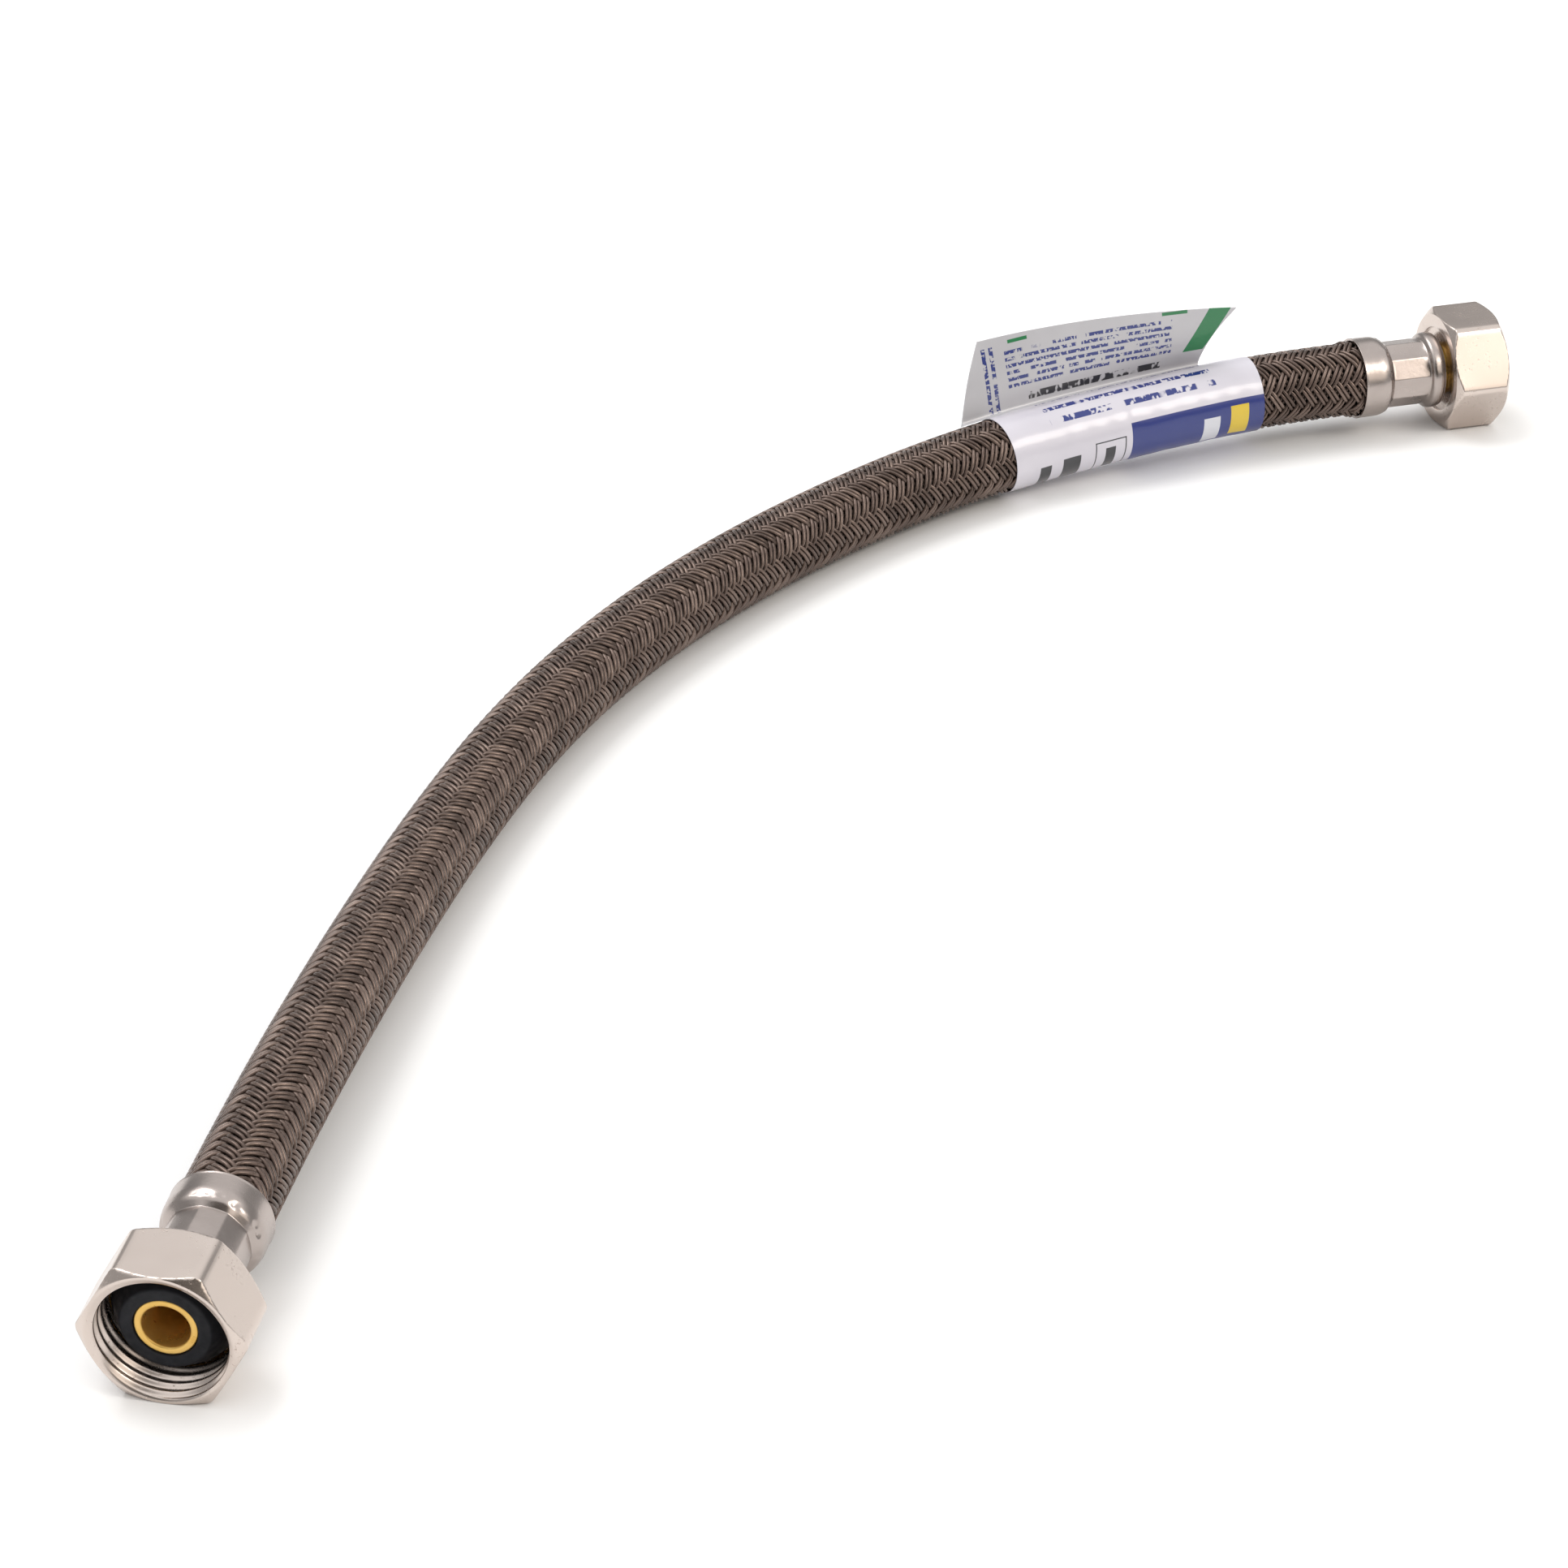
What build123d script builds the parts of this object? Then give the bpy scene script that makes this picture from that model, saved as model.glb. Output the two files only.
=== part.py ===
from build123d import *
import os
from math import cos, pi, radians, sin, tan

# A braided supply line: a flexible hose with a swivel nut at each end, lying on a table.
# All lengths are in millimetres. The origin is the centre of the inlet nut's mouth, the inlet
# end's axis runs along +Y into the hose, and +Z is up. Both nuts rest on a flat.

# ---- hose ----
HOSE_OD = 14.5
LINER_OD = 11.4
LINER_ID = 7.0

# ---- swivel nut, 1/2-14 straight pipe thread, its crests stood for by a smooth wall ----
NUT_ACROSS_FLATS = 21.8
NUT_LENGTH = 11.2
NUT_CORNER_FILLET = 1.6
NUT_FACE_R = 10.85
NUT_CHAMFER_DEPTH = 1.25
THREAD_CREST_R = 9.5
THREAD_MOUTH_R = 10.45
MOUTH_CHAMFER_DEPTH = 0.45
LEAD_WALL_END = 2.75
CHAMBER_R = 9.75
BACK_WALL_START = 9.4
BACK_WALL_END = 10.7
NUT_NECK_HOLE_R = 5.35
BACK_RECESS_R = 8.3

# ---- cone washer ----
WASHER_FRONT = 2.8
WASHER_FRONT_R = 6.6
WASHER_BACK_R = 9.0
WASHER_CONE_END = 6.6
WASHER_HOLE_R = 4.72

# ---- brass insert ----
NOSE_FRONT = 3.0
NOSE_R = 4.67
HEAD_FRONT = 7.4
HEAD_BACK = 9.0
HEAD_R = 8.9
NECK_R = 5.05
NECK_END = 13.4
SHANK_R = 3.48
SHANK_END = 28.4
NOSE_BORE_R = 3.5
NOSE_BORE_END = 12.0
WATERWAY_R = 2.8
WATERWAY_START = 13.0
GROOVE_R = 3.2
GROOVE_LENGTH = 1.2
GROOVE_PITCH = 2.4
GROOVE_COUNT = 5

# ---- crimped ferrule ----
FERRULE_WALL = 0.5
FLANGE_R = 7.45
FLANGE_FRONT = 11.7
FLANGE_SHOULDER = 12.4
FLANGE_BACK = 14.2
BARREL_START = 15.0
BARREL_END = 22.5
BARREL_R = 6.42
COLLAR_START = 23.3
COLLAR_END = 28.9
COLLAR_R = 7.9
COLLAR_BORE_R = 7.4
SLIP = 0.02

# ---- squeezed end of the hose, inside the ferrule ----
HOSE_END = 13.5
CRIMPED_LINER_R = 4.35
SPLAYED_BRAID_R = 6.9

# ---- printed film label, wrapped round the hose near the outlet, with a flag standing up ----
LABEL_LENGTH = 55.4
LABEL_GAP_TO_COLLAR = 22.0
FILM = 0.13
FLAG_THICKNESS = 0.3
FLAG_ROOT_LEAD = 5.0
FLAG_LEFT_HEIGHT = 15.3
FLAG_RIGHT_HEIGHT = 13.3
FLAG_ROOT_LENGTH = 46.0
FLAG_TOP_LENGTH = 52.4
FLAG_ROOT_ANGLE = 35.0

# ---- how it lies: the hose leaves both ends level and sags to the table between them ----
OUTLET_MOUTH = Vector(164.35, 347.9, 0)
OUTLET_TURN = 25.8
FLOOR = -NUT_ACROSS_FLATS / 2
REST = FLOOR + HOSE_OD / 2

outlet_out = Vector(cos(radians(OUTLET_TURN)), sin(radians(OUTLET_TURN)), 0)
ROUTE = [
    Vector(0, COLLAR_END, 0),
    Vector(0, 56, 0),
    Vector(0.8, 98, -1.9),
    Vector(3.1, 140, REST),
    Vector(8.4, 176.7, REST),
    Vector(17.9, 209.6, REST),
    Vector(31.7, 239.9, REST),
    Vector(50.7, 270, REST),
    Vector(71.2, 293.5, -3.1),
    Vector(96.2, 311, -1.2),
    OUTLET_MOUTH - outlet_out * (COLLAR_END + 19),
    OUTLET_MOUTH - outlet_out * COLLAR_END,
]


def bend_radii(points):
    """The largest tangent arc that each corner's two runs leave room for."""
    radii = []
    for before, corner, after in zip(points, points[1:], points[2:]):
        run_in = corner - before
        run_out = after - corner
        half_turn = radians(run_in.get_angle(run_out)) / 2
        radii.append(0.45 * min(run_in.length, run_out.length) / tan(half_turn))
    return radii


def tube(path, outer_r, inner_r):
    """A round tube along the hose's path."""
    ring = Circle(outer_r) - Circle(inner_r)
    return sweep(Plane(origin=path @ 0, z_dir=path % 0) * ring, path=path)


def turned(outline):
    """A solid of revolution about Z from the (depth, radius) corners of its closed section."""
    corners = [(radius, 0, depth) for depth, radius in outline]
    return revolve(make_face(Polyline(*corners, close=True)), Axis.Z)


def swivel_nut():
    """Hexagonal nut: threaded mouth, roomy chamber and a back wall that holds the insert's head."""
    flats = RegularPolygon(NUT_ACROSS_FLATS / 2, 6, major_radius=False, rotation=30)
    hexagon = extrude(flats, NUT_LENGTH)
    hexagon = fillet(hexagon.edges().filter_by(Axis.Z), NUT_CORNER_FILLET)
    corner_r = NUT_ACROSS_FLATS / 2 / cos(pi / 6)
    outside = turned([
        (0, 0),
        (0, NUT_FACE_R),
        (NUT_CHAMFER_DEPTH, corner_r),
        (NUT_LENGTH - NUT_CHAMFER_DEPTH, corner_r),
        (NUT_LENGTH, NUT_FACE_R),
        (NUT_LENGTH, 0),
    ])
    inside = turned([
        (0, 0),
        (0, THREAD_MOUTH_R),
        (MOUTH_CHAMFER_DEPTH, THREAD_CREST_R),
        (LEAD_WALL_END, THREAD_CREST_R),
        (LEAD_WALL_END, CHAMBER_R),
        (BACK_WALL_START, CHAMBER_R),
        (BACK_WALL_START, NUT_NECK_HOLE_R),
        (BACK_WALL_END, NUT_NECK_HOLE_R),
        (BACK_WALL_END, BACK_RECESS_R),
        (NUT_LENGTH, BACK_RECESS_R),
        (NUT_LENGTH, 0),
    ])
    return (hexagon & outside) - inside


def cone_washer():
    """Rubber washer, a cone that seals on the mating pipe's end, seated on the insert's head."""
    return turned([
        (WASHER_FRONT, WASHER_HOLE_R),
        (WASHER_FRONT, WASHER_FRONT_R),
        (WASHER_CONE_END, WASHER_BACK_R),
        (HEAD_FRONT, WASHER_BACK_R),
        (HEAD_FRONT, WASHER_HOLE_R),
    ])


def insert():
    """Brass insert: nose and head inside the nut, neck through it, grooved shank in the liner."""
    body = turned([
        (NOSE_FRONT, NOSE_BORE_R),
        (NOSE_FRONT, NOSE_R),
        (HEAD_FRONT, NOSE_R),
        (HEAD_FRONT, HEAD_R),
        (HEAD_BACK, HEAD_R),
        (HEAD_BACK, NECK_R),
        (NECK_END, NECK_R),
        (NECK_END, SHANK_R),
        (SHANK_END, SHANK_R),
        (SHANK_END, WATERWAY_R),
        (WATERWAY_START, WATERWAY_R),
        (NOSE_BORE_END, NOSE_BORE_R),
    ])
    for number in range(GROOVE_COUNT):
        start = BARREL_START + number * GROOVE_PITCH
        body -= turned([
            (start, GROOVE_R),
            (start, SHANK_R + 1),
            (start + GROOVE_LENGTH, SHANK_R + 1),
            (start + GROOVE_LENGTH, GROOVE_R),
        ])
    return body


def ferrule():
    """Stainless ferrule: front lip on the insert's neck, flange, crimped barrel, open collar."""
    return turned([
        (FLANGE_FRONT, NECK_R + SLIP),
        (FLANGE_FRONT, FLANGE_R - 0.9),
        (FLANGE_SHOULDER, FLANGE_R),
        (FLANGE_BACK, FLANGE_R),
        (BARREL_START, BARREL_R),
        (BARREL_END, BARREL_R),
        (COLLAR_START, COLLAR_R),
        (COLLAR_END, COLLAR_R),
        (COLLAR_END, COLLAR_BORE_R),
        (COLLAR_START + 0.2, COLLAR_BORE_R),
        (BARREL_END, BARREL_R - FERRULE_WALL),
        (BARREL_START, BARREL_R - FERRULE_WALL),
        (FLANGE_BACK, FLANGE_R - FERRULE_WALL),
        (FLANGE_FRONT + FERRULE_WALL + 0.2, FLANGE_R - FERRULE_WALL),
        (FLANGE_FRONT + FERRULE_WALL + 0.2, NECK_R + SLIP),
    ])


def liner_end():
    """The liner's end, squeezed on the insert's shank and opening to full size at the collar."""
    return turned([
        (HOSE_END, LINER_ID / 2),
        (HOSE_END, CRIMPED_LINER_R),
        (BARREL_END, CRIMPED_LINER_R),
        (COLLAR_END, LINER_OD / 2),
        (COLLAR_END, LINER_ID / 2),
    ])


def braid_end():
    """The braid's end, squeezed between liner and ferrule, splayed a little inside the flange."""
    return turned([
        (HOSE_END, CRIMPED_LINER_R),
        (HOSE_END, SPLAYED_BRAID_R),
        (FLANGE_BACK, SPLAYED_BRAID_R),
        (BARREL_START, BARREL_R - FERRULE_WALL - SLIP),
        (BARREL_END, BARREL_R - FERRULE_WALL - SLIP),
        (COLLAR_START + 0.4, HOSE_OD / 2),
        (COLLAR_END, HOSE_OD / 2),
        (COLLAR_END, LINER_OD / 2),
        (BARREL_END, CRIMPED_LINER_R),
    ])


def label(path, flag_start, flag_end):
    """Film wrapped once round the hose, its two ends stuck together as a flag on the far side."""
    film_r = HOSE_OD / 2 + SLIP
    chord = flag_end - flag_start
    along = Vector(chord.X, chord.Y, 0).normalized()
    side = Vector(0, 0, 1).cross(along)
    middle = (flag_start + flag_end) / 2
    slab = Plane(origin=middle, x_dir=along, z_dir=(0, 0, 1)) * Box(LABEL_LENGTH, 60, 60)
    wrap = tube(path, film_r + FILM, film_r) & slab
    angle = radians(FLAG_ROOT_ANGLE)
    root = flag_start + side * (film_r * sin(angle)) + Vector(0, 0, film_r * cos(angle) - 0.3)
    rise = chord.Z / chord.length
    outline = Polyline(
        (-FLAG_ROOT_LEAD, -FLAG_ROOT_LEAD * rise),
        (FLAG_ROOT_LENGTH, FLAG_ROOT_LENGTH * rise),
        (FLAG_TOP_LENGTH, FLAG_RIGHT_HEIGHT + FLAG_TOP_LENGTH * rise),
        (1, FLAG_LEFT_HEIGHT),
        close=True,
    )
    sheet = Plane(origin=root, x_dir=along, z_dir=along.cross(Vector(0, 0, 1)))
    flag = extrude(sheet * make_face(outline), FLAG_THICKNESS / 2, both=True)
    flag -= tube(path, film_r + FILM / 2, 0.5)
    return wrap + flag


os.makedirs("parts", exist_ok=True)

radii = bend_radii(ROUTE)
path = FilletPolyline(*ROUTE, radius=radii)
print("bend radii", [round(radius) for radius in radii])
print("free hose", round(path.length, 1))

inlet = Plane(origin=(0, 0, 0), x_dir=(0, 0, 1), z_dir=(0, 1, 0)).location
outlet = Plane(origin=OUTLET_MOUTH, x_dir=(0, 0, 1), z_dir=-outlet_out).location

liner = tube(path, LINER_OD / 2, LINER_ID / 2)
braid = tube(path, HOSE_OD / 2, LINER_OD / 2)
section = pi * (HOSE_OD**2 - LINER_OD**2) / 4
print("braid volume", round(braid.volume), "section by length", round(section * path.length))

nodes = {
    "inner_tube": liner + inlet * liner_end() + outlet * liner_end(),
    "braid_sleeve": braid + inlet * braid_end() + outlet * braid_end(),
}
for name, end in (("inlet", inlet), ("outlet", outlet)):
    nodes[f"{name}_swivel_nut"] = end * swivel_nut()
    nodes[f"{name}_cone_washer"] = end * cone_washer()
    nodes[f"{name}_insert"] = end * insert()
    nodes[f"{name}_ferrule"] = end * ferrule()

label_end = path.length - LABEL_GAP_TO_COLLAR
label_start = label_end - LABEL_LENGTH
nodes["hose_label"] = label(path, path @ (label_start / path.length), path @ (label_end / path.length))

for name, solid in nodes.items():
    solid.label = name
    export_step(solid, f"parts/{name}.step")
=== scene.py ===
import math
import random

import bpy
import numpy as np
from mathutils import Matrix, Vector


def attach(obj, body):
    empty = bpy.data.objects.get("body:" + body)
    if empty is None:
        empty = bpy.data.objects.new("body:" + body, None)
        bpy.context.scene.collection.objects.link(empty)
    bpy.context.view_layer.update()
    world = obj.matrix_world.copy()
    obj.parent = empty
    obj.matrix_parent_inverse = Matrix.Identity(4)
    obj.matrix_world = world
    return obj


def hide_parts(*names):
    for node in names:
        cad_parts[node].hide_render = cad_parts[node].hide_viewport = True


# A braided supply line on a white table: a hose woven from twin filaments round a dark liner,
# a crimped ferrule, brass insert, rubber cone washer and hexagonal swivel nut at each end, and
# a printed film label with its flag. Lengths are written in millimetres and scaled to metres.

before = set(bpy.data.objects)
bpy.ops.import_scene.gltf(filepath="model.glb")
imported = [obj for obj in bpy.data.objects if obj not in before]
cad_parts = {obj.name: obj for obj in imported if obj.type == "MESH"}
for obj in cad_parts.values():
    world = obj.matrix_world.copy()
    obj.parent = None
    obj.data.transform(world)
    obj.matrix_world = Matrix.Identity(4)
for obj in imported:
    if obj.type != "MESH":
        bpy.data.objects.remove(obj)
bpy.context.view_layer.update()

MM = 0.001
UP = np.array([0.0, 0.0, 1.0])
FLOOR = -10.9

# ---- ends of the hose: mouth centre and the direction that runs into the hose ----
OUTLET_TURN = math.radians(25.8)
OUTLET_OUT = np.array([math.cos(OUTLET_TURN), math.sin(OUTLET_TURN), 0.0])
END_FRAMES = {
    "inlet": (np.array([0.0, 0.0, 0.0]), np.array([0.0, 1.0, 0.0])),
    "outlet": (np.array([164.35, 347.9, 0.0]), -OUTLET_OUT),
}
COLLAR_END = 28.9
HOSE_D = 14.5
LINER_D = 11.4
LINER_BORE_D = 7.0
REST = FLOOR + HOSE_D / 2


# ======================================================================= camera
camera_data = bpy.data.cameras.new("camera")
camera_data.sensor_width = 36.0
camera_data.lens = 96.9
camera_data.clip_start = 0.01
camera_data.clip_end = 20.0
camera = bpy.data.objects.new("camera", camera_data)
camera.location = (0.16848, -0.43128, 0.36275)
camera.rotation_euler = (math.radians(90 - 31.037), 0.0, math.radians(10.7))
bpy.context.scene.collection.objects.link(camera)
bpy.context.scene.camera = camera


# ======================================================================= hose route
outlet_mouth = END_FRAMES["outlet"][0]
ROUTE = [
    (0, COLLAR_END, 0),
    (0, 56, 0),
    (0.8, 98, -1.9),
    (3.1, 140, REST),
    (8.4, 176.7, REST),
    (17.9, 209.6, REST),
    (31.7, 239.9, REST),
    (50.7, 270, REST),
    (71.2, 293.5, -3.1),
    (96.2, 311, -1.2),
    tuple(outlet_mouth - OUTLET_OUT * (COLLAR_END + 19)),
    tuple(outlet_mouth - OUTLET_OUT * COLLAR_END),
]


def route_line(points):
    """The points of the smooth line that a NURBS spline makes of the route, in millimetres."""
    curve = bpy.data.curves.new("route", "CURVE")
    curve.dimensions = "3D"
    curve.resolution_u = 48
    spline = curve.splines.new("NURBS")
    spline.points.add(len(points) - 1)
    for control, point in zip(spline.points, points):
        control.co = (*[x * MM for x in point], 1.0)
    spline.order_u = 3
    spline.use_endpoint_u = True
    holder = bpy.data.objects.new("route", curve)
    bpy.context.scene.collection.objects.link(holder)
    mesh = bpy.data.meshes.new_from_object(holder)
    line = np.array([vertex.co for vertex in mesh.vertices], float) / MM
    bpy.data.objects.remove(holder)
    bpy.data.meshes.remove(mesh)
    return line


class Line:
    """A line through space that can be asked for its point and its axes at any length."""

    def __init__(self, points):
        steps = np.linalg.norm(np.diff(points, axis=0), axis=1)
        keep = np.concatenate([[True], steps > 1e-6])
        self.points = points[keep]
        steps = np.linalg.norm(np.diff(self.points, axis=0), axis=1)
        self.reach = np.concatenate([[0.0], np.cumsum(steps)])
        self.length = self.reach[-1]
        self.tangents = np.gradient(self.points, self.reach, axis=0)

    def at(self, s):
        """Centre, tangent, upward normal and side normal at the lengths s; straight past the ends."""
        s = np.asarray(s, float)
        inside = np.clip(s, 0.0, self.length)
        centre = np.stack([np.interp(inside, self.reach, self.points[:, k]) for k in range(3)], -1)
        along = np.stack([np.interp(inside, self.reach, self.tangents[:, k]) for k in range(3)], -1)
        along /= np.linalg.norm(along, axis=-1, keepdims=True)
        centre = centre + along * (s - inside)[..., None]
        rise = UP - along * (along @ UP)[..., None]
        rise /= np.linalg.norm(rise, axis=-1, keepdims=True)
        side = np.cross(along, rise)
        return centre, along, rise, side

    def place(self, s, angle, radius):
        """Points at the length s, the angle from the top and the distance from the line."""
        centre, _, rise, side = self.at(s)
        angle = np.asarray(angle)[..., None]
        radius = np.asarray(radius)[..., None]
        return centre + radius * (np.cos(angle) * rise + np.sin(angle) * side)


hose_line = Line(route_line(ROUTE))
free_length = hose_line.length
print("free hose", round(free_length, 1), "mm")


# ======================================================================= mesh helpers
def build(name, points, faces, sharp=40.0):
    """A mesh object from points in millimetres, smooth except where faces meet sharply."""
    mesh = bpy.data.meshes.new(name)
    points = np.asarray(points, float) * MM
    mesh.from_pydata(points, [], faces)
    mesh.validate()
    mesh.shade_smooth()
    if sharp:
        mesh.set_sharp_from_angle(angle=math.radians(sharp))
    piece = bpy.data.objects.new(name, mesh)
    bpy.context.scene.collection.objects.link(piece)
    return piece


def grid_faces(rows, columns, wrap_rows=False, wrap_columns=False, start=0):
    """Quads of a grid of points laid out row after row, which may close on itself both ways."""
    row = np.arange(rows if wrap_rows else rows - 1)
    column = np.arange(columns if wrap_columns else columns - 1)
    row, column = [a.ravel() for a in np.meshgrid(row, column, indexing="ij")]
    next_row = (row + 1) % rows
    next_column = (column + 1) % columns
    corners = [
        row * columns + column,
        row * columns + next_column,
        next_row * columns + next_column,
        next_row * columns + column,
    ]
    return np.stack(corners, -1) + start


def mark(piece, name, values, kind="FLOAT"):
    """Stores one value for each point, for the materials to read."""
    attribute = piece.data.attributes.new(name, kind, "POINT")
    field = "value" if kind == "FLOAT" else "vector"
    attribute.data.foreach_set(field, np.asarray(values, np.float32).ravel())


def in_end_frame(end, depth, radius, angle):
    """Points at a depth behind the end's mouth, a radius and an angle from the top."""
    origin, inward = END_FRAMES[end]
    side = np.cross(inward, UP)
    depth = np.asarray(depth)[..., None]
    radius = np.asarray(radius)[..., None]
    angle = np.asarray(angle)[..., None]
    return origin + inward * depth + radius * (np.cos(angle) * UP + np.sin(angle) * side)


def rounded(corners, reaches, steps=5):
    """A closed outline with each corner replaced by a curve that starts reach away from it."""
    outline = []
    count = len(corners)
    corners = [np.array(c, float) for c in corners]
    for index in range(count):
        before = corners[index - 1]
        corner = corners[index]
        after = corners[(index + 1) % count]
        reach = reaches[index]
        if reach <= 0:
            outline.append(corner)
            continue
        enter = corner + (before - corner) / np.linalg.norm(before - corner) * reach
        leave = corner + (after - corner) / np.linalg.norm(after - corner) * reach
        for step in range(steps + 1):
            t = step / steps
            outline.append(enter * (1 - t) ** 2 + corner * 2 * t * (1 - t) + leave * t**2)
    return np.array(outline)


def lathe(name, end, outline, columns=96, shape=None, sharp=40.0):
    """A ring-shaped piece turned from its closed (depth, radius) outline, optionally reshaped."""
    angle = np.arange(columns) * 2 * math.pi / columns
    depth = np.repeat(outline[:, :1], columns, 1)
    radius = np.repeat(outline[:, 1:], columns, 1)
    angle = np.repeat(angle[None, :], len(outline), 0)
    if shape:
        depth, radius = shape(depth, radius, angle)
    points = in_end_frame(end, depth, radius, angle).reshape(-1, 3)
    faces = grid_faces(len(outline), columns, wrap_rows=True, wrap_columns=True)
    return build(name, points, faces.tolist(), sharp)


# ======================================================================= braid
CARRIERS = 12
LAY = 28.5
FILAMENT_D = 0.78
MID_R = 6.52
WAVE = 0.34
PAIR_HALF_ANGLE = math.radians(6.15)
CARRIER_STEP = 2 * math.pi / CARRIERS
TURN_PHASE = math.radians(10.0)
COLUMN_PHASE = math.radians(7.5) + TURN_PHASE
FILAMENT_SIDES = 6
RINGS_PER_FLOAT_PAIR = 11
TUCK = 5.0
FLOAT_FLATNESS = 2.6
BULGE_HEIGHT = 0.45
BULGE_FROM_OUTLET = 1.2
BULGE_REACH = 0.9


def braid_offset(crossing):
    """How far a filament rides above or below the middle, from -1 to 1, with flat floats."""
    return np.tanh(FLOAT_FLATNESS * np.sin(crossing)) / math.tanh(FLOAT_FLATNESS)


def braid_mesh():
    """Every filament of both ways round, as one mesh, with a tone and a height at each point."""
    rings = int((free_length + 2 * TUCK) / LAY * 6 * RINGS_PER_FLOAT_PAIR)
    s = np.linspace(-TUCK, free_length + TUCK, rings)
    centre, along, rise, side = hose_line.at(s)
    all_points, all_faces, tones, heights = [], [], [], []
    start = 0
    from_bulge = (free_length - s - BULGE_FROM_OUTLET) / BULGE_REACH
    bulge = BULGE_HEIGHT * np.exp(-from_bulge**2)
    chooser = random.Random(4)
    for way in (1, -1):
        for carrier in range(CARRIERS):
            pair_tone = chooser.random()
            for half in (-1, 1):
                shift = half * PAIR_HALF_ANGLE
                angle = carrier * CARRIER_STEP + COLUMN_PHASE + shift + way * 2 * math.pi * s / LAY
                lift = way * braid_offset(6 * (angle - shift / 2 - TURN_PHASE))
                radius = MID_R + bulge + WAVE * lift
                outward = np.cos(angle)[:, None] * rise + np.sin(angle)[:, None] * side
                line = centre + outward * radius[:, None]
                tangent = np.gradient(line, axis=0)
                tangent /= np.linalg.norm(tangent, axis=1, keepdims=True)
                normal = outward - tangent * np.sum(outward * tangent, 1)[:, None]
                normal /= np.linalg.norm(normal, axis=1, keepdims=True)
                across = np.cross(tangent, normal)
                turn = np.arange(FILAMENT_SIDES) * 2 * math.pi / FILAMENT_SIDES + math.pi / 6
                ring = (
                    np.cos(turn)[None, :, None] * normal[:, None, :]
                    + np.sin(turn)[None, :, None] * across[:, None, :]
                )
                points = line[:, None, :] + ring * FILAMENT_D / 2
                all_points.append(points.reshape(-1, 3))
                faces = grid_faces(rings, FILAMENT_SIDES, wrap_columns=True, start=start)
                all_faces.extend(faces.tolist())
                first = start
                last = start + (rings - 1) * FILAMENT_SIDES
                all_faces.append([first + k for k in range(FILAMENT_SIDES)][::-1])
                all_faces.append([last + k for k in range(FILAMENT_SIDES)])
                start += rings * FILAMENT_SIDES
                tone = 0.7 * pair_tone + 0.3 * chooser.random()
                tones.append(np.full(rings * FILAMENT_SIDES, tone))
                height = radius[:, None] + np.cos(turn)[None, :] * FILAMENT_D / 2
                heights.append(((height - MID_R) / (WAVE + FILAMENT_D / 2)).ravel())
    piece = build("braid", np.concatenate(all_points), all_faces, sharp=0)
    mark(piece, "tone", np.concatenate(tones))
    mark(piece, "height", np.concatenate(heights))
    return piece


braid = braid_mesh()
print("braid faces", len(braid.data.polygons))


def liner_mesh():
    """The liner inside the braid, a plain round tube."""
    s = np.linspace(-TUCK, free_length + TUCK, 260)
    columns = 36
    angle = np.arange(columns) * 2 * math.pi / columns
    skins = []
    for radius in (LINER_D / 2, LINER_BORE_D / 2):
        grid_s = np.repeat(s[:, None], columns, 1)
        grid_angle = np.repeat(angle[None, :], len(s), 0)
        skins.append(hose_line.place(grid_s, grid_angle, np.full(grid_s.shape, radius)))
    points = np.concatenate([skins[0], skins[1][::-1]])
    rows = len(points)
    faces = grid_faces(rows, columns, wrap_rows=True, wrap_columns=True)
    return build("liner", points.reshape(-1, 3), faces.tolist())


liner = liner_mesh()


# ======================================================================= swivel nuts
APOTHEM = 10.9
CORNER_FILLET = 1.6
NUT_LENGTH = 11.2
NUT_CORNER_R = APOTHEM / math.cos(math.pi / 6)
FACE_R = 10.85
CHAMFER_DEPTH = 1.25
PITCH = 25.4 / 14
CREST_R = 9.5
ROOT_R = 10.12
MOUTH_R = 10.45
MOUTH_CHAMFER = 0.45
THREAD_END = 8.4
CHAMBER_R = 9.75
BACK_WALL_START = 9.4
BACK_WALL_END = 10.7
NECK_HOLE_R = 5.35
BACK_RECESS_R = 8.3


def hexagon_radius(angle):
    """Distance from the axis to the hexagon's outline, whose corners are rounded."""
    sector = math.pi / 3
    from_corner = np.abs(np.mod(angle, sector) - sector / 2)
    centre = (APOTHEM - CORNER_FILLET) / math.cos(math.pi / 6)
    reach = math.atan2(CORNER_FILLET * 0.5, centre + CORNER_FILLET * math.cos(math.pi / 6))
    inside = np.maximum(CORNER_FILLET**2 - (centre * np.sin(from_corner)) ** 2, 0)
    on_fillet = centre * np.cos(from_corner) + np.sqrt(inside)
    on_flat = APOTHEM / np.cos(sector / 2 - from_corner)
    return np.where(from_corner <= reach, on_fillet, on_flat)


def soft_min(values, softness):
    """The smallest of several surfaces, blended a little where they meet."""
    values = np.stack(values)
    lowest = values.min(0)
    return lowest - softness * np.log(np.exp(-(values - lowest) / softness).sum(0))


def nut_angles():
    """Angles round the nut, closer together at its six corners."""
    sector = math.pi / 3
    half = np.concatenate([
        np.linspace(0, 3.2, 6)[:-1],
        np.linspace(3.2, 30, 11)[:-1],
    ])
    half = np.radians(half)
    one = np.concatenate([-half[1:][::-1], half])
    one = np.concatenate([[-sector / 2], one])
    return np.concatenate([one + sector / 2 + k * sector for k in range(6)])


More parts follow.
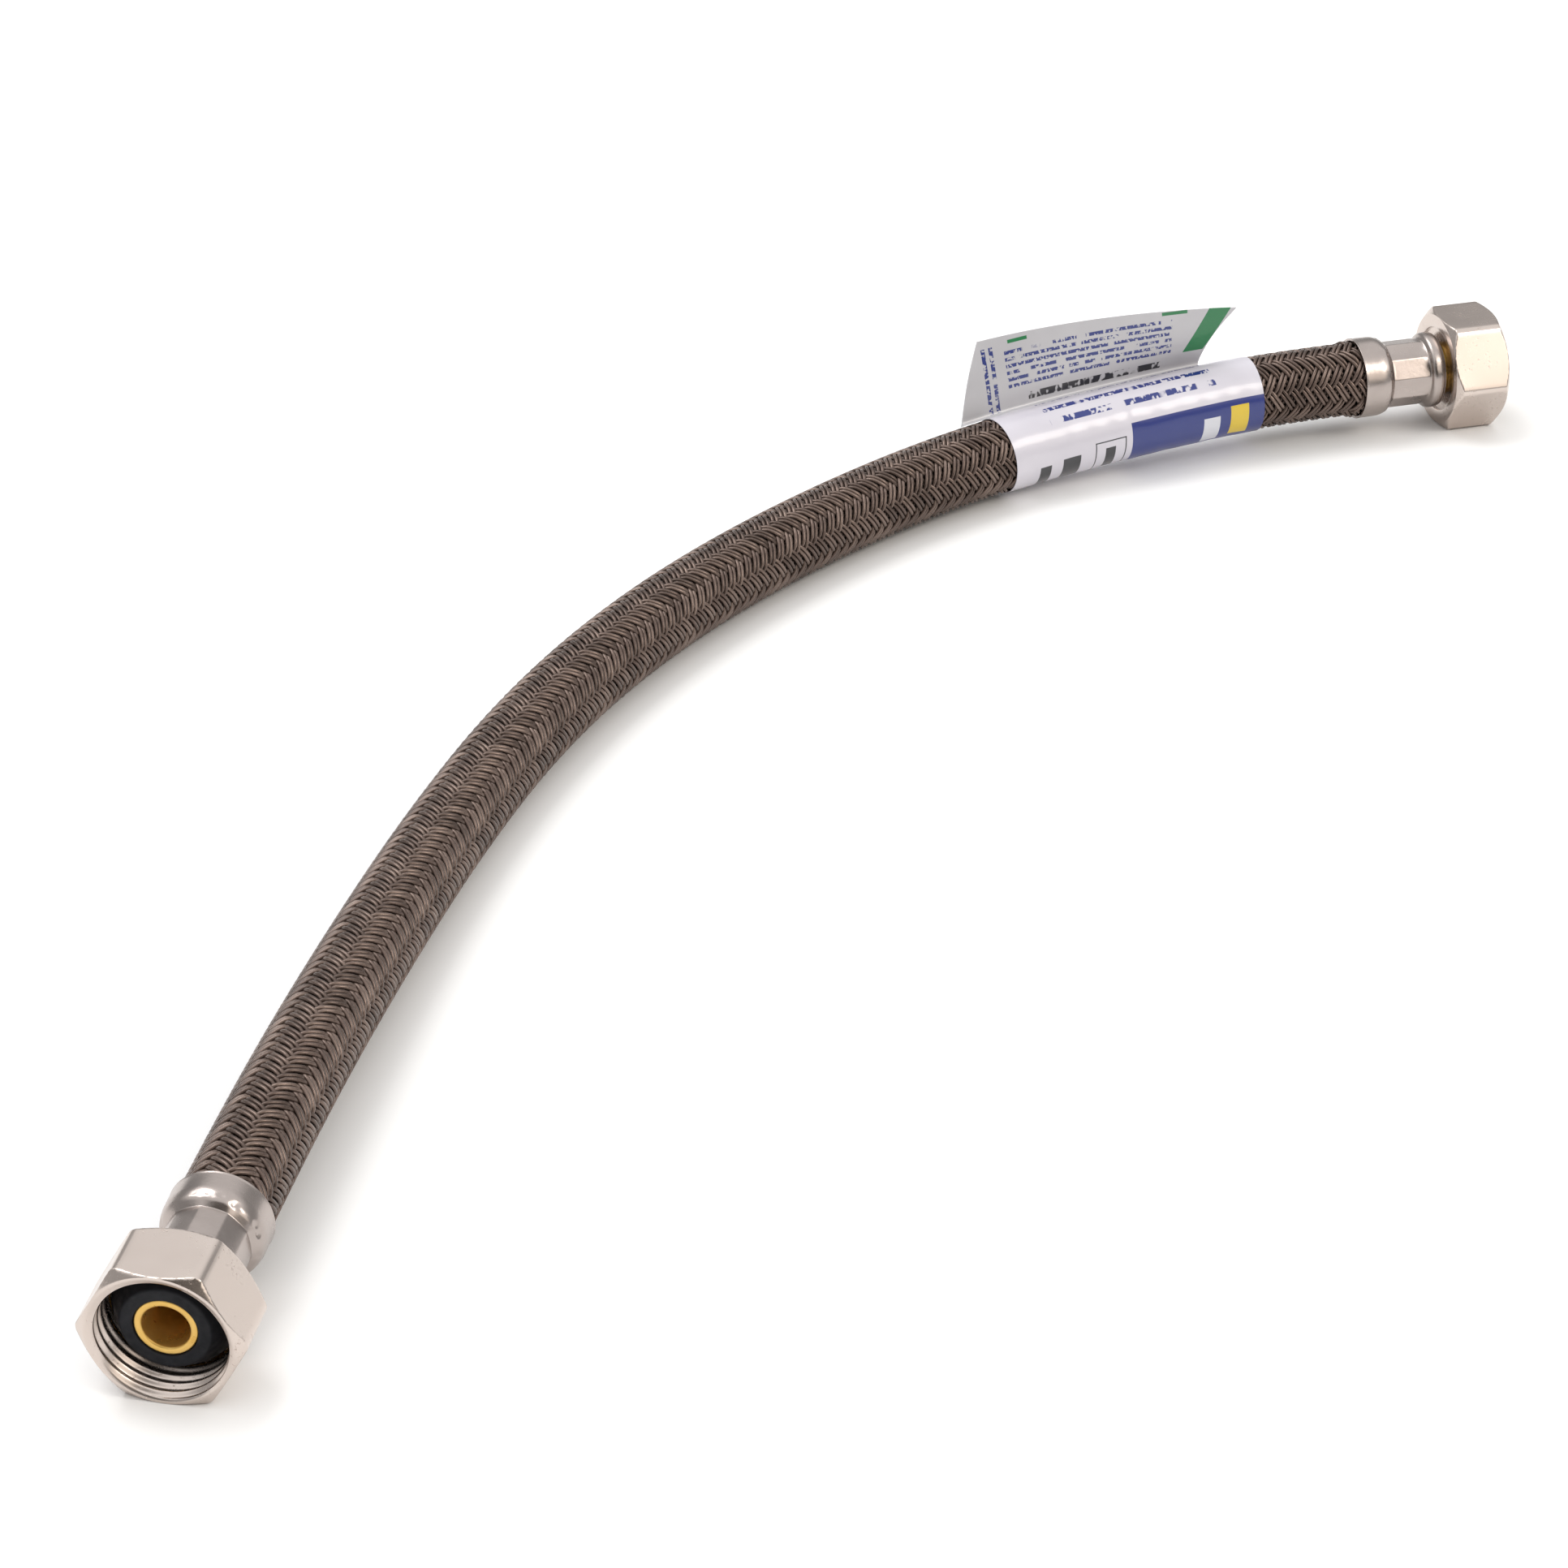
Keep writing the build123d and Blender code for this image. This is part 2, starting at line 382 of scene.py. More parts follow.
def thread_radius(depth, angle):
    """The female thread, worn smooth: crests and roots as rounded waves, wound right-handed."""
    phase = np.mod(depth / PITCH + angle / (2 * math.pi), 1.0)
    tooth = np.abs(phase - 0.5) * 2
    smooth = 0.5 - 0.5 * np.cos(math.pi * tooth)
    return CREST_R + (ROOT_R - CREST_R) * smooth


def nut_mesh(end, turn):
    """Hexagonal nut with chamfered corners outside and a thread, chamber and wall inside."""
    angle = nut_angles()
    columns = len(angle)
    outer_depth = np.concatenate([
        np.linspace(0.0, 1.7, 16),
        np.linspace(1.7, NUT_LENGTH - 1.7, 10)[1:-1],
        np.linspace(NUT_LENGTH - 1.7, NUT_LENGTH, 16),
    ])
    hexagon = hexagon_radius(angle)
    slope = (NUT_CORNER_R - FACE_R) / CHAMFER_DEPTH
    depth_rows, radius_rows = [], []
    for depth in outer_depth:
        front = np.full(columns, FACE_R + slope * depth)
        back = np.full(columns, FACE_R + slope * (NUT_LENGTH - depth))
        radius = soft_min([hexagon, front, back], 0.035)
        depth_rows.append(np.full(columns, depth))
        radius_rows.append(radius)

    def ring(depth, radius):
        depth_rows.append(np.full(columns, float(depth)))
        radius_rows.append(np.full(columns, float(radius)))

    ring(NUT_LENGTH + 0.02, FACE_R - 0.25)
    ring(NUT_LENGTH + 0.02, 9.6)
    ring(NUT_LENGTH + 0.02, BACK_RECESS_R + 0.25)
    ring(NUT_LENGTH - 0.05, BACK_RECESS_R + 0.08)
    ring(NUT_LENGTH - 0.2, BACK_RECESS_R)
    ring(BACK_WALL_END + 0.1, BACK_RECESS_R)
    ring(BACK_WALL_END, BACK_RECESS_R - 0.1)
    ring(BACK_WALL_END, NECK_HOLE_R + 0.1)
    ring(BACK_WALL_END - 0.1, NECK_HOLE_R)
    ring(BACK_WALL_START + 0.1, NECK_HOLE_R)
    ring(BACK_WALL_START, NECK_HOLE_R + 0.1)
    ring(BACK_WALL_START, CHAMBER_R - 0.1)
    ring(BACK_WALL_START - 0.1, CHAMBER_R)
    thread_rows = np.linspace(THREAD_END + 0.6, 0.0, 84)
    for depth in thread_rows:
        threaded = thread_radius(depth, angle + turn)
        fade = np.clip((THREAD_END + 0.5 - depth) / 0.8, 0, 1)
        radius = CHAMBER_R + (threaded - CHAMBER_R) * fade
        mouth = MOUTH_R - (MOUTH_R - CREST_R) * depth / MOUTH_CHAMFER
        radius = np.maximum(radius, mouth)
        depth_rows.append(np.full(columns, depth))
        radius_rows.append(radius)
    ring(-0.02, MOUTH_R + 0.06)
    ring(-0.02, FACE_R - 0.1)
    depth = np.stack(depth_rows)
    radius = np.stack(radius_rows)
    points = in_end_frame(end, depth, radius, np.repeat(angle[None, :], len(depth), 0))
    faces = grid_faces(len(depth), columns, wrap_rows=True, wrap_columns=True)
    return build(f"{end}_nut", points.reshape(-1, 3), faces.tolist(), sharp=28)


nuts = {end: nut_mesh(end, turn) for end, turn in (("inlet", 2.4), ("outlet", 0.7))}


# ======================================================================= ferrules
FACETS = 10


def ferrule_mesh(end, seed):
    """Stainless ferrule: rounded flange bead, barrel crimped in ten strips, open collar."""
    outline = rounded(
        [
            (11.75, 5.07),
            (11.75, 7.15),
            (12.5, 7.45),
            (14.2, 7.45),
            (14.75, 6.42),
            (22.5, 6.42),
            (23.4, 7.55),
            (24.9, 7.88),
            (28.5, 7.9),
            (28.9, 7.98),
            (28.9, 7.45),
            (23.9, 7.38),
            (22.4, 5.92),
            (15.0, 5.92),
            (14.0, 6.95),
            (12.4, 6.95),
            (12.4, 5.07),
        ],
        [0.1, 0.3, 0.45, 0.55, 0.3, 0.12, 0.6, 0.6, 0.1, 0.12, 0.15, 0.5, 0.2, 0.3, 0.3, 0.15, 0.1],
        steps=6,
    )
    dense = []
    for first, second in zip(outline, np.roll(outline, -1, 0)):
        gap = np.linalg.norm(second - first)
        pieces = max(1, int(gap / 0.45))
        for step in range(pieces):
            dense.append(first + (second - first) * step / pieces)
    outline = np.array(dense)
    chooser = random.Random(seed)
    dents = [
        (chooser.uniform(0, 2 * math.pi), chooser.uniform(23.2, 24.1), chooser.uniform(0.07, 0.17))
        for _ in range(34)
    ]
    facet = 2 * math.pi / FACETS
    facet_turn = FACET_TURNS[end]

    def crimp(depth, radius, angle):
        """Flattens the barrel in strips and marks the collar's shoulder where the jaws ended."""
        from_middle = np.mod(angle - facet_turn + facet / 2, facet) - facet / 2
        flat = math.cos(facet / 2) / np.cos(from_middle)
        share = np.clip((depth - 14.9) / 0.7, 0, 1) * np.clip((22.9 - depth) / 0.5, 0, 1)
        flattened = radius * (1 + (flat / math.cos(facet / 2) * 0.975 - 1) * share * FACET_DEPTHS[end])
        changed = np.where(radius > 5.5, flattened, radius)
        for where, at_depth, size in dents:
            around = (np.mod(angle - where + math.pi, 2 * math.pi) - math.pi) * 7.5
            along = depth - at_depth
            bump = np.exp(-(around / 0.55) ** 2 - (along / 0.28) ** 2)
            changed = changed - size * bump * (radius > 6.1) * (depth > 22.6)
        return depth, changed

    return lathe(f"{end}_crimped_ferrule", end, outline, 200, crimp, sharp=32)


FACET_DEPTHS = {"inlet": 0.45, "outlet": 1.0}
FACET_TURNS = {"inlet": math.radians(12), "outlet": math.radians(-58)}
ferrules = {end: ferrule_mesh(end, seed) for end, seed in (("inlet", 11), ("outlet", 12))}


# ======================================================================= inserts and washers
def insert_mesh(end):
    """Brass insert: rounded nose, head, neck and grooved shank, its wide bore narrowing inside."""
    corners = [(3.0, 3.5), (3.0, 4.67), (7.4, 4.67), (7.4, 8.9), (9.0, 8.9), (9.0, 5.05)]
    corners += [(13.4, 5.05), (13.4, 3.48)]
    reaches = [0.42, 0.35, 0.05, 0.15, 0.2, 0.1, 0.15, 0.05]
    for number in range(5):
        start = 15.0 + number * 2.4
        corners += [(start, 3.48), (start, 3.2), (start + 1.2, 3.2), (start + 1.2, 3.48)]
        reaches += [0.05, 0.05, 0.05, 0.05]
    corners += [(28.4, 3.48), (28.4, 2.8), (13.0, 2.8), (12.0, 3.5)]
    reaches += [0.15, 0.1, 0.25, 0.2]
    for depth in np.arange(11.5, 3.6, -0.3):
        corners.append((float(depth), 3.5))
        reaches.append(0.0)
    outline = rounded(corners, reaches, steps=4)

    def notch(depth, radius, angle):
        """A small step pressed into the mouth of the waterway."""
        around = (np.mod(angle - 0.75 + math.pi, 2 * math.pi) - math.pi) * 4
        lip = np.exp(-(around / 0.5) ** 4) * np.clip((depth - 3.35) / 0.3, 0, 1)
        inside = (radius < 3.7) & (depth < 6.6) & (radius > 3.0)
        return depth, np.where(inside, radius - 0.3 * lip, radius)

    return lathe(f"{end}_brass_insert", end, outline, 96, notch, sharp=45)


def washer_mesh(end):
    """Rubber cone washer with a flat front ring, a little uneven, as moulded rubber is."""
    corners = [(2.8, 4.72), (2.8, 6.6), (6.6, 9.0), (7.4, 9.0), (7.4, 4.72)]
    outline = rounded(corners, [0.12, 0.3, 0.3, 0.15, 0.1], steps=5)

    def uneven(depth, radius, angle):
        """Slight waviness of the rim."""
        wave = 0.03 * np.sin(2 * angle + 0.6) + 0.02 * np.sin(5 * angle)
        return depth + wave * (depth < 4), radius

    return lathe(f"{end}_rubber_washer", end, outline, 96, uneven)


inserts = {end: insert_mesh(end) for end in END_FRAMES}
washers = {end: washer_mesh(end) for end in END_FRAMES}


# ======================================================================= label
LABEL_LENGTH = 55.4
LABEL_GAP = 22.0
FILM = 0.13
FILM_R = HOSE_D / 2 + 0.04
FLAG_ROOT_ANGLE = math.radians(-35)
FLAG_ROOT_LEAD = 5.0
FLAG_LEFT_HEIGHT = 15.3
FLAG_RIGHT_HEIGHT = 13.3
FLAG_ROOT_LENGTH = 46.0
FLAG_TOP_LENGTH = 52.4
label_start = free_length - LABEL_GAP - LABEL_LENGTH


def wrap_mesh():
    """The film once round the hose, a strip with thickness, with its printed place per point."""
    rows, columns = 115, 121
    s = label_start + np.linspace(0, LABEL_LENGTH, rows)
    angle = FLAG_ROOT_ANGLE + np.linspace(0.0, 2 * math.pi, columns)
    grid_s, grid_angle = np.meshgrid(s, angle, indexing="ij")
    crease = np.exp(-((grid_s - label_start - 27) / 0.9) ** 2 - ((grid_angle - 0.9) / 0.35) ** 2)
    crease = 0.1 * crease
    ripple = 0.025 * np.sin(grid_s * 0.55 + 2 * grid_angle)
    ripple = ripple + 0.02 * np.sin(grid_s * 1.3 - 3 * grid_angle)
    skins = [
        hose_line.place(grid_s, grid_angle, FILM_R + FILM + crease + ripple),
        hose_line.place(grid_s, grid_angle, FILM_R + crease + ripple),
    ]
    count = rows * columns
    points = np.concatenate([skin.reshape(-1, 3) for skin in skins])
    faces = grid_faces(rows, columns).tolist()
    faces += [face[::-1] for face in grid_faces(rows, columns, start=count).tolist()]
    border = (
        [k for k in range(columns)]
        + [k * columns + columns - 1 for k in range(1, rows)]
        + [(rows - 1) * columns + k for k in range(columns - 2, -1, -1)]
        + [k * columns for k in range(rows - 2, 0, -1)]
    )
    for first, second in zip(border, border[1:] + border[:1]):
        faces.append([first, first + count, second + count, second])
    piece = build("label_wrap", points, faces, sharp=50)
    place = np.stack([
        grid_s - label_start,
        (grid_angle - FLAG_ROOT_ANGLE) * FILM_R,
        np.zeros_like(grid_s),
    ], -1)
    mark(piece, "place", np.concatenate([place.reshape(-1, 3)] * 2), "FLOAT_VECTOR")
    return piece


def flag_mesh():
    """The film's two ends stuck together, standing up behind the hose and leaning as they go."""
    rows, columns = 90, 40
    u = np.linspace(0, 1, rows)
    v = np.linspace(0, 1, columns) ** 1.3
    grid_u, grid_v = np.meshgrid(u, v, indexing="ij")
    left = (1.0 + FLAG_ROOT_LEAD) * grid_v - FLAG_ROOT_LEAD - 0.5 * np.sin(math.pi * grid_v)
    right = FLAG_ROOT_LENGTH + (FLAG_TOP_LENGTH - FLAG_ROOT_LENGTH) * grid_v**0.9
    right = right - 1.4 * np.sin(math.pi * grid_v)
    s = label_start + left + (right - left) * grid_u
    height = (FLAG_LEFT_HEIGHT + (FLAG_RIGHT_HEIGHT - FLAG_LEFT_HEIGHT) * grid_u) * grid_v
    lean = np.radians(-15 + 30 * grid_u)
    bow = 1.1 * np.sin(math.pi * grid_u) * grid_v**1.5
    centre, along, rise, side = hose_line.at(s)
    outward = math.cos(FLAG_ROOT_ANGLE) * rise + math.sin(FLAG_ROOT_ANGLE) * side
    root = centre + outward * (FILM_R + FILM * 0.4)
    stand = rise * np.cos(lean)[..., None] + side * np.sin(lean)[..., None]
    ease = np.exp(-height / 1.5)[..., None]
    start_way = outward
    middle = root + (stand * (1 - ease) + start_way * ease) * height[..., None] - side * bow[..., None]
    down = np.gradient(middle, axis=1)
    across = np.gradient(middle, axis=0)
    normal = np.cross(across, down)
    normal /= np.linalg.norm(normal, axis=-1, keepdims=True)
    half = FILM + 0.45 * np.exp(-height / 0.55)
    skins = [middle + normal * half[..., None], middle - normal * half[..., None]]
    count = rows * columns
    points = np.concatenate([skin.reshape(-1, 3) for skin in skins])
    faces = [face[::-1] for face in grid_faces(rows, columns).tolist()]
    faces += grid_faces(rows, columns, start=count).tolist()
    border = (
        [k for k in range(columns)]
        + [k * columns + columns - 1 for k in range(1, rows)]
        + [(rows - 1) * columns + k for k in range(columns - 2, -1, -1)]
        + [k * columns for k in range(rows - 2, 0, -1)]
    )
    for first, second in zip(border, border[1:] + border[:1]):
        faces.append([second, second + count, first + count, first])
    piece = build("label_flag", points, faces, sharp=50)
    place = np.stack([s - label_start, height, np.zeros_like(s)], -1)
    mark(piece, "place", np.concatenate([place.reshape(-1, 3)] * 2), "FLOAT_VECTOR")
    return piece


wrap = wrap_mesh()
flag = flag_mesh()


# ======================================================================= material helpers
def material(name):
    """A new material with an empty tree and its shader, ready for nodes."""
    made = bpy.data.materials.new(name)
    made.use_nodes = True
    tree = made.node_tree
    tree.nodes.clear()
    output = tree.nodes.new("ShaderNodeOutputMaterial")
    shader = tree.nodes.new("ShaderNodeBsdfPrincipled")
    tree.links.new(shader.outputs[0], output.inputs[0])
    return made, tree, shader


def feed(tree, socket, value):
    """Links a socket, or sets its value."""
    if isinstance(value, bpy.types.NodeSocket):
        tree.links.new(value, socket)
    else:
        socket.default_value = value


def maths(tree, operation, first, second=0.0, clamp=False):
    """One Math node's result."""
    node = tree.nodes.new("ShaderNodeMath")
    node.operation = operation
    node.use_clamp = clamp
    feed(tree, node.inputs[0], first)
    feed(tree, node.inputs[1], second)
    return node.outputs[0]


def attribute(tree, name):
    """The Attribute node that reads values stored on the mesh."""
    node = tree.nodes.new("ShaderNodeAttribute")
    node.attribute_name = name
    return node


def position(tree):
    """Object coordinates, which are metres in the part's own frame."""
    return tree.nodes.new("ShaderNodeTexCoord").outputs["Object"]


def noise(tree, vector, scale, detail=3.0, roughness=0.5, kind="Fac"):
    """Noise at a scale given in features per metre."""
    node = tree.nodes.new("ShaderNodeTexNoise")
    feed(tree, node.inputs["Vector"], vector)
    node.inputs["Scale"].default_value = scale
    node.inputs["Detail"].default_value = detail
    node.inputs["Roughness"].default_value = roughness
    return node.outputs[kind]


def ramp(tree, value, stops):
    """A colour ramp from (place, colour) stops."""
    node = tree.nodes.new("ShaderNodeValToRGB")
    feed(tree, node.inputs["Fac"], value)
    elements = node.color_ramp.elements
    while len(elements) < len(stops):
        elements.new(0.5)
    for element, (place, colour) in zip(elements, stops):
        element.position = place
        element.color = (*colour, 1.0)
    return node.outputs["Color"]


def span(tree, value, low, high, to_low=0.0, to_high=1.0):
    """Maps a range of a value to another, clamped."""
    node = tree.nodes.new("ShaderNodeMapRange")
    feed(tree, node.inputs["Value"], value)
    node.inputs["From Min"].default_value = low
    node.inputs["From Max"].default_value = high
    node.inputs["To Min"].default_value = to_low
    node.inputs["To Max"].default_value = to_high
    return node.outputs["Result"]


def blend(tree, share, first, second, how="MIX"):
    """A mix of two colours."""
    node = tree.nodes.new("ShaderNodeMix")
    node.data_type = "RGBA"
    node.blend_type = how
    feed(tree, node.inputs["Factor"], share)
    feed(tree, node.inputs[6], first)
    feed(tree, node.inputs[7], second)
    return node.outputs[2]


def bump(tree, shader, height, strength, distance):
    """Feeds a height to the shader's normal."""
    node = tree.nodes.new("ShaderNodeBump")
    feed(tree, node.inputs["Height"], height)
    node.inputs["Strength"].default_value = strength
    node.inputs["Distance"].default_value = distance
    tree.links.new(node.outputs[0], shader.inputs["Normal"])


def give(piece, made):
    """Gives a piece its material."""
    piece.data.materials.clear()
    piece.data.materials.append(made)


# ======================================================================= materials
def braid_material():
    made, tree, shader = material("braid_filament")
    where = position(tree)
    tone = attribute(tree, "tone").outputs["Fac"]
    height = attribute(tree, "height").outputs["Fac"]
    cloudy = noise(tree, where, 90, 3)
    fine = noise(tree, where, 2200, 2)
    mixed = maths(tree, "ADD", maths(tree, "MULTIPLY", tone, 0.45), maths(tree, "MULTIPLY", cloudy, 0.4))
    mixed = maths(tree, "ADD", mixed, maths(tree, "MULTIPLY", fine, 0.2))
    colour = ramp(tree, mixed, [
        (0.15, (0.058, 0.040, 0.032)),
        (0.5, (0.120, 0.083, 0.068)),
        (0.85, (0.215, 0.157, 0.130)),
    ])
    # Painted shade: each filament's colour is multiplied down towards 0.18 of itself where it dips below
    # the middle of the weave, under the filaments that cross it.
    shade = span(tree, height, -0.9, 0.75, 0.18, 1.0)
    painted_shade_colour = blend(tree, 1.0, colour, ramp(tree, shade, [(0.0, (0, 0, 0)), (1.0, (1, 1, 1))]), "MULTIPLY")
    tree.links.new(painted_shade_colour, shader.inputs["Base Color"])
    shader.inputs["Metallic"].default_value = 0.55
    tree.links.new(span(tree, fine, 0.3, 0.7, 0.24, 0.38), shader.inputs["Roughness"])
    bump(tree, shader, fine, 0.15, 0.00004)
    return made


def liner_material():
    made, tree, shader = material("liner_rubber")
    where = position(tree)
    colour = ramp(tree, noise(tree, where, 400, 3), [
        (0.3, (0.010, 0.009, 0.008)),
        (0.7, (0.022, 0.020, 0.018)),
    ])
    tree.links.new(colour, shader.inputs["Base Color"])
    shader.inputs["Roughness"].default_value = 0.75
    bump(tree, shader, noise(tree, where, 3000, 2), 0.2, 0.00005)
    return made


def nut_material():
    made, tree, shader = material("satin_nickel")
    where = position(tree)
    cloudy = noise(tree, where, 60, 4)
    colour = ramp(tree, cloudy, [
        (0.25, (0.56, 0.485, 0.44)),
        (0.75, (0.645, 0.565, 0.515)),
    ])
    pits = noise(tree, where, 1700, 4, 0.65)
    patches = noise(tree, where, 130, 2)
    spots = maths(tree, "MULTIPLY", span(tree, pits, 0.6, 0.7), span(tree, patches, 0.46, 0.6))
    colour = blend(tree, maths(tree, "MULTIPLY", spots, 0.5), colour, (0.20, 0.13, 0.09, 1.0))
    tree.links.new(colour, shader.inputs["Base Color"])
    shader.inputs["Metallic"].default_value = 1.0
    grain = noise(tree, where, 5000, 2)
    rough = maths(tree, "ADD", span(tree, cloudy, 0.3, 0.7, 0.2, 0.29), maths(tree, "MULTIPLY", spots, 0.3))
    tree.links.new(rough, shader.inputs["Roughness"])
    relief = maths(tree, "SUBTRACT", maths(tree, "MULTIPLY", grain, 0.12), spots)
    bump(tree, shader, relief, 0.25, 0.00004)
    return made


def steel_material():
    made, tree, shader = material("crimped_steel")
    where = position(tree)
    cloudy = noise(tree, where, 120, 4)
    colour = ramp(tree, cloudy, [
        (0.3, (0.358, 0.312, 0.290)),
        (0.7, (0.465, 0.410, 0.384)),
    ])
    tree.links.new(colour, shader.inputs["Base Color"])
    shader.inputs["Metallic"].default_value = 1.0
    tree.links.new(span(tree, cloudy, 0.3, 0.7, 0.2, 0.33), shader.inputs["Roughness"])
    scuffs = noise(tree, where, 1400, 4, 0.6)
    bump(tree, shader, scuffs, 0.25, 0.00006)
    return made


def brass_material():
    made, tree, shader = material("brass")
    where = position(tree)
    cloudy = noise(tree, where, 300, 4)
    colour = ramp(tree, cloudy, [
        (0.3, (0.68, 0.41, 0.095)),
        (0.7, (0.80, 0.53, 0.165)),
    ])
    tree.links.new(colour, shader.inputs["Base Color"])
    shader.inputs["Metallic"].default_value = 0.7
    tree.links.new(span(tree, cloudy, 0.3, 0.7, 0.25, 0.4), shader.inputs["Roughness"])
    bump(tree, shader, noise(tree, where, 2500, 3), 0.2, 0.00005)
    return made


def rubber_material():
    made, tree, shader = material("washer_rubber")
    where = position(tree)
    colour = ramp(tree, noise(tree, where, 500, 4), [
        (0.3, (0.0045, 0.0050, 0.0075)),
        (0.7, (0.0080, 0.0088, 0.0130)),
    ])
    tree.links.new(colour, shader.inputs["Base Color"])
    tree.links.new(span(tree, noise(tree, where, 900, 3), 0.3, 0.7, 0.5, 0.7), shader.inputs["Roughness"])
    shader.inputs["Specular IOR Level"].default_value = 0.25
    bump(tree, shader, noise(tree, where, 3500, 3), 0.2, 0.00005)
    return made


class Print:
    """Draws plain printed blocks on a colour, in millimetres of the label's own place."""

    def __init__(self, tree, base):
        self.tree = tree
        split = tree.nodes.new("ShaderNodeSeparateXYZ")
        tree.links.new(attribute(tree, "place").outputs["Vector"], split.inputs[0])
        self.u, self.v = split.outputs[0], split.outputs[1]
        self.colour = base

    def band(self, value, low, high):
        """1 between low and high, falling to 0 over a narrow edge on each side."""
        soft = 0.04
        rise = span(self.tree, value, low - soft, low + soft)
        fall = span(self.tree, value, high - soft, high + soft, 1.0, 0.0)
        return maths(self.tree, "MULTIPLY", rise, fall)

    def block(self, u0, u1, v0, v1, colour, mask=None, slant=0.0):
        """A filled block, slanted if asked, limited by a mask if there is one."""
        across = self.u
        if slant:
            shift = maths(self.tree, "MULTIPLY", self.v, slant)
            across = maths(self.tree, "SUBTRACT", self.u, shift)
        share = maths(self.tree, "MULTIPLY", self.band(across, u0, u1), self.band(self.v, v0, v1))
        if mask is not None:
            share = maths(self.tree, "MULTIPLY", share, mask)
        self.colour = blend(self.tree, share, self.colour, (*colour, 1.0))

    def words(self, u0, u1, v0, v1, rows, colour, upright=False, seed=0.0, density=0.42):
        """Rows of small broken strokes that stand for text without being any."""
        tree = self.tree
        along, across = (self.v, self.u) if upright else (self.u, self.v)
        low, high = (u0, u1) if upright else (v0, v1)
        pitch = (high - low) / rows
        row = maths(tree, "DIVIDE", maths(tree, "SUBTRACT", across, low), pitch)
        in_row = maths(tree, "FRACT", row)
        row_band = self.band(maths(tree, "MULTIPLY", in_row, pitch), pitch * 0.2, pitch * 0.72)
        number = maths(tree, "FLOOR", row)
        combine = tree.nodes.new("ShaderNodeCombineXYZ")
        tree.links.new(maths(tree, "MULTIPLY", along, 2.6 / pitch), combine.inputs[0])
        tree.links.new(maths(tree, "MULTIPLY", across, 1.6 / pitch), combine.inputs[1])
        tree.links.new(maths(tree, "ADD", maths(tree, "MULTIPLY", number, 7.3), seed), combine.inputs[2])
        strokes = noise(tree, combine.outputs[0], 1.0, 1.0)
        strokes = span(tree, strokes, density - 0.02, density + 0.06)
        gaps = tree.nodes.new("ShaderNodeCombineXYZ")
        tree.links.new(maths(tree, "MULTIPLY", along, 0.55 / pitch), gaps.inputs[0])
        tree.links.new(maths(tree, "ADD", maths(tree, "MULTIPLY", number, 3.7), seed), gaps.inputs[1])
        spaces = span(tree, noise(tree, gaps.outputs[0], 1.0, 0.0), 0.36, 0.4)
        mask = maths(tree, "MULTIPLY", maths(tree, "MULTIPLY", strokes, row_band), spaces)
        self.block(u0, u1, v0, v1, colour, mask)


NAVY = (0.009, 0.022, 0.175)
INK = (0.012, 0.012, 0.016)
YELLOW = (0.66, 0.47, 0.02)
GREEN = (0.003, 0.165, 0.048)


def film_finish(tree, shader):
    """The gloss that the printed film shares."""
    where = position(tree)
    shader.inputs["Roughness"].default_value = 0.28
    shader.inputs["Coat Weight"].default_value = 0.5
    shader.inputs["Coat Roughness"].default_value = 0.12
    bump(tree, shader, noise(tree, where, 160, 3), 0.12, 0.0004)


def wrap_material():
    made, tree, shader = material("label_film")
    where = position(tree)
    base = ramp(tree, noise(tree, where, 70, 3), [
        (0.3, (0.56, 0.54, 0.60)),
        (0.7, (0.62, 0.60, 0.66)),
    ])
    art = Print(tree, base)
    art.block(26.3, 56.0, 12.8, 27.0, NAVY)
    art.block(42.0, 45.6, 15.5, 22.0, (0.62, 0.63, 0.68))
    art.block(48.0, 52.0, 14.0, 21.0, YELLOW)
    art.words(10.0, 46.0, 1.5, 3.0, 1, NAVY, seed=5.0)
    art.words(10.0, 46.0, 4.5, 6.6, 1, NAVY, seed=2.0)
    art.words(10.0, 46.0, 7.5, 10.0, 1, NAVY, seed=3.0)
    art.block(18.2, 18.45, 15.0, 24.0, INK)
    art.block(24.7, 24.95, 15.0, 24.0, INK)
    art.block(18.2, 24.95, 15.0, 15.25, INK)
    art.block(20.4, 22.6, 16.5, 22.5, INK)
    art.block(11.0, 15.0, 16.5, 23.0, INK)
    art.block(5.7, 8.3, 17.0, 23.5, INK)
    tree.links.new(art.colour, shader.inputs["Base Color"])
    film_finish(tree, shader)
    return made


def flag_material():
    made, tree, shader = material("label_flag_film_painted_shade")
    where = position(tree)
    # Painted shade: the flag is the same film as the wrap, but its base is about a fifth darker than the
    # wrap's because it stands in shade behind the hose.
    base = ramp(tree, noise(tree, where, 60, 3), [
        (0.3, (0.455, 0.450, 0.475)),
        (0.7, (0.520, 0.515, 0.540)),
    ])
    art = Print(tree, base)
    art.words(6.0, 40.0, 4.4, 12.4, 6, NAVY, seed=1.0)
    art.words(1.0, 4.2, 0.5, 13.5, 2, NAVY, upright=True, seed=9.0)
    art.words(10.0, 38.0, 1.0, 3.8, 1, INK, seed=6.0)
    art.block(40.4, 44.6, 4.2, 14.4, GREEN, slant=0.5)
    art.block(38.0, 43.0, 13.0, 13.7, GREEN)
    art.block(7.0, 11.0, 13.4, 14.1, GREEN)
    tree.links.new(art.colour, shader.inputs["Base Color"])
    film_finish(tree, shader)
    return made


finishes = {
    "braid": braid_material(),
    "liner": liner_material(),
    "nut": nut_material(),
    "steel": steel_material(),
    "brass": brass_material(),
    "rubber": rubber_material(),
}
give(braid, finishes["braid"])
give(liner, finishes["liner"])
for end in END_FRAMES:
    give(nuts[end], finishes["nut"])
    give(ferrules[end], finishes["steel"])
    give(inserts[end], finishes["brass"])
    give(washers[end], finishes["rubber"])
give(wrap, wrap_material())
give(flag, flag_material())


